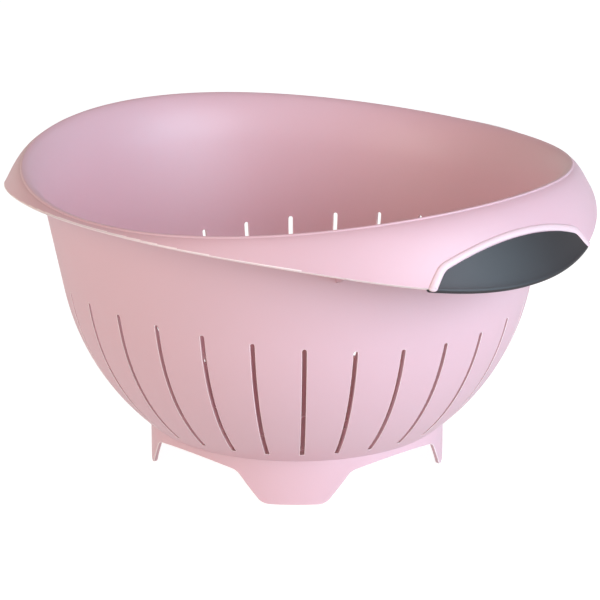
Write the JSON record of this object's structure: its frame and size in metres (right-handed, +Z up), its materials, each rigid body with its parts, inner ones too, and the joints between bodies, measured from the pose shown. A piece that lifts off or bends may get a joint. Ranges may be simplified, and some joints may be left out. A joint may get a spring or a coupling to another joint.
{
  "type": "colander",
  "caption": "Free-standing round kitchen colander with a slotted belly, perforated floor, arched foot ring and hooded handles with soft grip pads.",
  "frame": {"origin": "bottom centre: the middle of the feet, on the plane that they stand on", "axes": "+Z up, +X out through the front handle's grip, +Y to the side between the handles"},
  "size_m": [0.3028, 0.2696, 0.1535],
  "materials": {
    "shell": "satin",
    "grip": "matte"
  },
  "bodies": {
    "root": {"basket": "shell", "foot_ring": "shell", "rim": "shell", "handle_front": "shell", "handle_back": "shell", "grip_front": "grip", "grip_back": "grip"}
  },
  "joints": []
}
